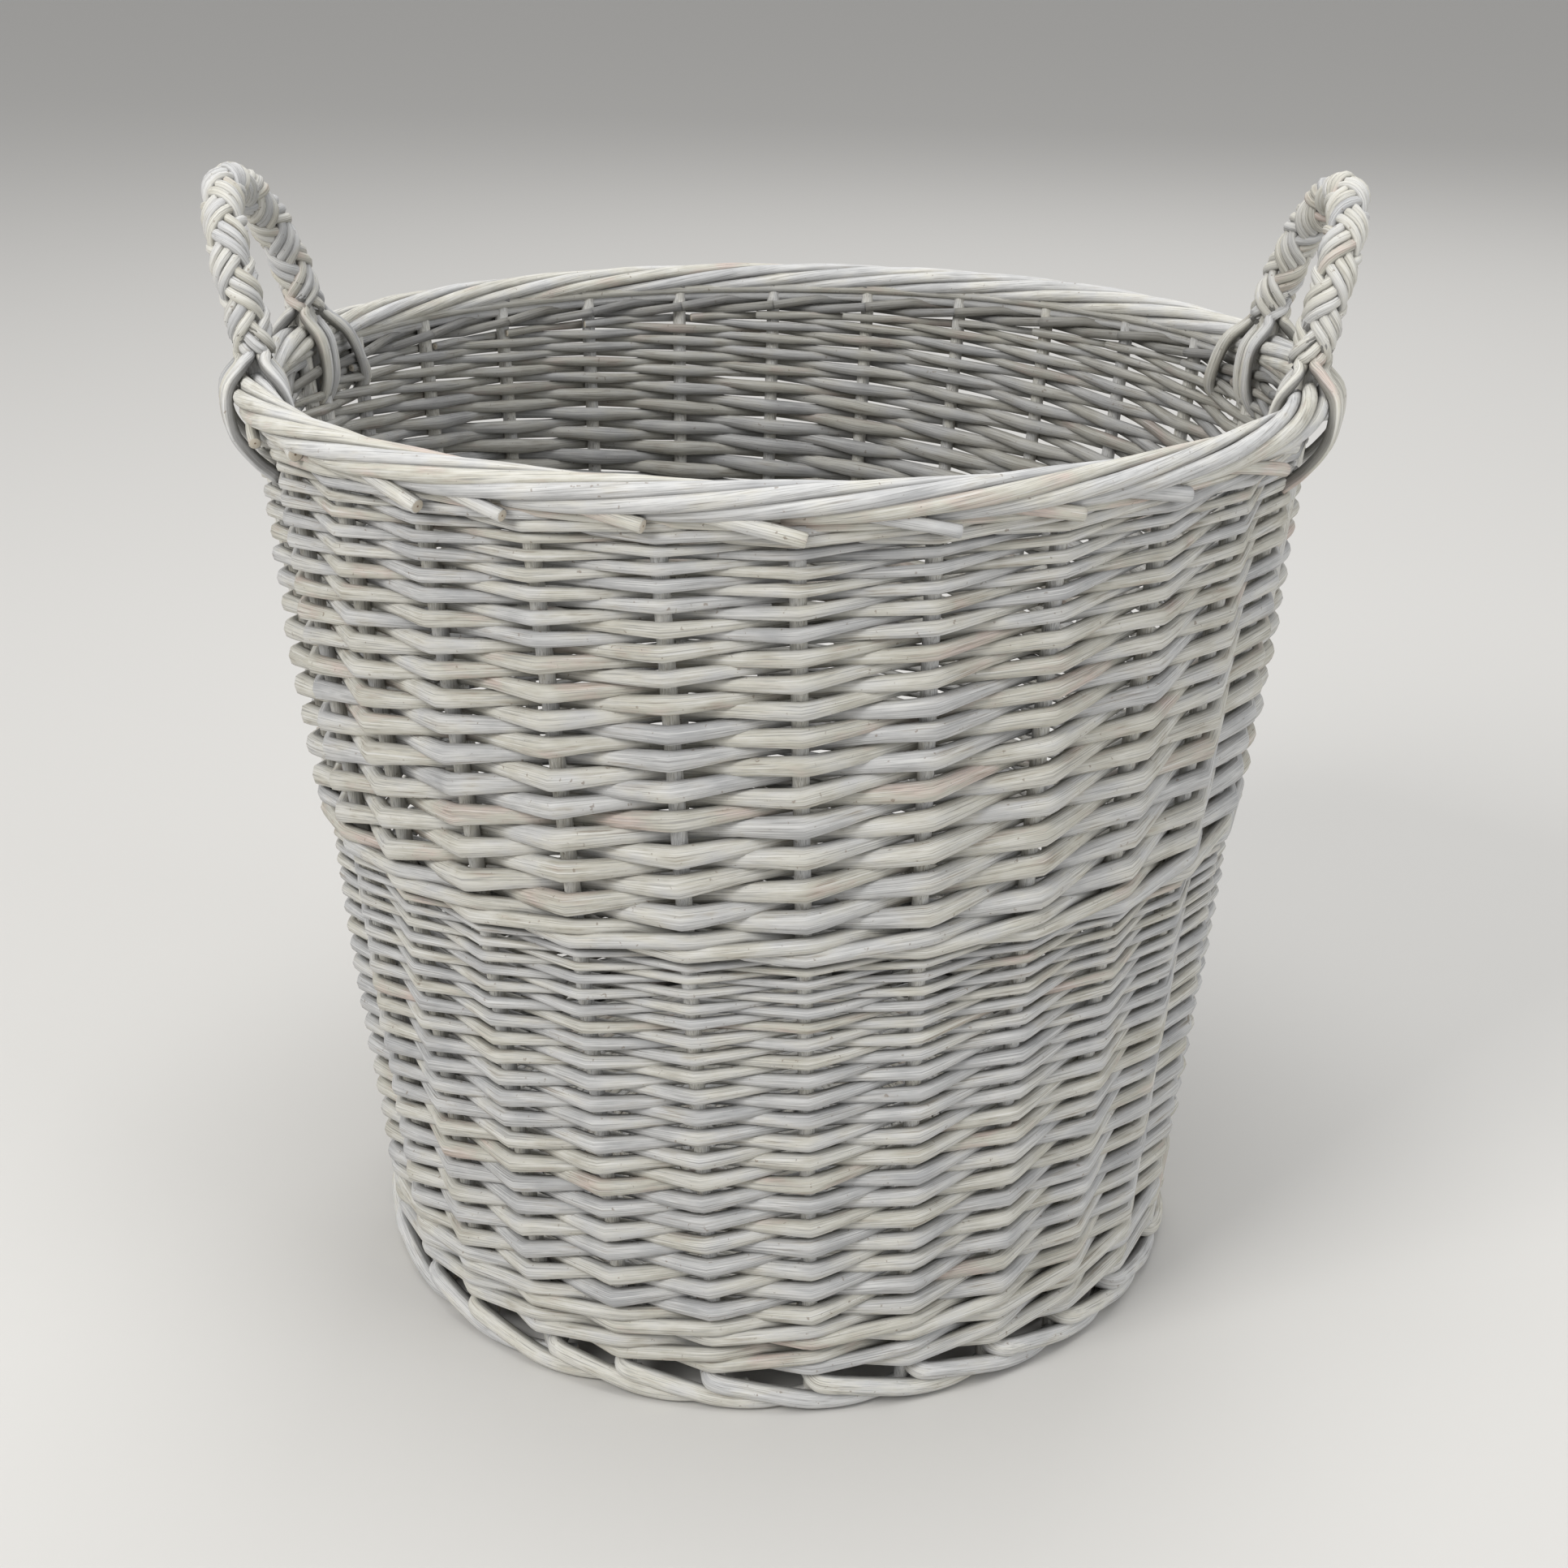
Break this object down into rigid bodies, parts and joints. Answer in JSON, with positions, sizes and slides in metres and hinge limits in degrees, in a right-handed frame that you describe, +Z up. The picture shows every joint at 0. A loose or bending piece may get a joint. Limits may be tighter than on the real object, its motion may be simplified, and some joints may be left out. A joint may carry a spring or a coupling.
{
  "type": "wicker log basket",
  "caption": "Tall round woven log basket with a rolled rim, waled bands and plaited side handles.",
  "frame": {"origin": "on the floor under the middle of the basket", "axes": "+Z up, handles at +X and -X, front at -Y"},
  "size_m": [0.5278, 0.5048, 0.531],
  "materials": {
    "weaver_willow": "whitewashed, matt",
    "stake_willow": "whitewashed, matt",
    "border_willow": "whitewashed, matt",
    "handle_willow": "whitewashed, matt",
    "base_willow": "whitewashed, matt"
  },
  "bodies": {
    "root": {"stake_01": "stake_willow", "stake_02": "stake_willow", "stake_03": "stake_willow", "stake_04": "stake_willow", "stake_05": "stake_willow", "stake_06": "stake_willow", "stake_07": "stake_willow", "stake_08": "stake_willow", "stake_09": "stake_willow", "stake_10": "stake_willow", "stake_11": "stake_willow", "stake_12": "stake_willow", "stake_13": "stake_willow", "stake_14": "stake_willow", "stake_15": "stake_willow", "stake_16": "stake_willow", "stake_17": "stake_willow", "stake_18": "stake_willow", "stake_19": "stake_willow", "stake_20": "stake_willow", "stake_21": "stake_willow", "stake_22": "stake_willow", "stake_23": "stake_willow", "stake_24": "stake_willow", "stake_25": "stake_willow", "stake_26": "stake_willow", "stake_27": "stake_willow", "stake_28": "stake_willow", "base_stick_pierced_1": "base_willow", "base_stick_pierced_2": "base_willow", "base_stick_pierced_3": "base_willow", "base_stick_pierced_4": "base_willow", "base_stick_through_1": "base_willow", "base_stick_through_2": "base_willow", "base_stick_through_3": "base_willow", "base_weave": "base_willow", "upsett_wale": "weaver_willow", "lower_siding": "weaver_willow", "middle_wale": "weaver_willow", "upper_siding": "weaver_willow", "top_wale": "weaver_willow", "foot_border": "border_willow", "rim_border": "border_willow", "handle_core_left": "stake_willow", "handle_plait_left": "handle_willow", "handle_core_right": "stake_willow", "handle_plait_right": "handle_willow", "handle_lashing_left_front": "handle_willow", "handle_lashing_left_back": "handle_willow", "handle_lashing_right_front": "handle_willow", "handle_lashing_right_back": "handle_willow"}
  },
  "joints": []
}
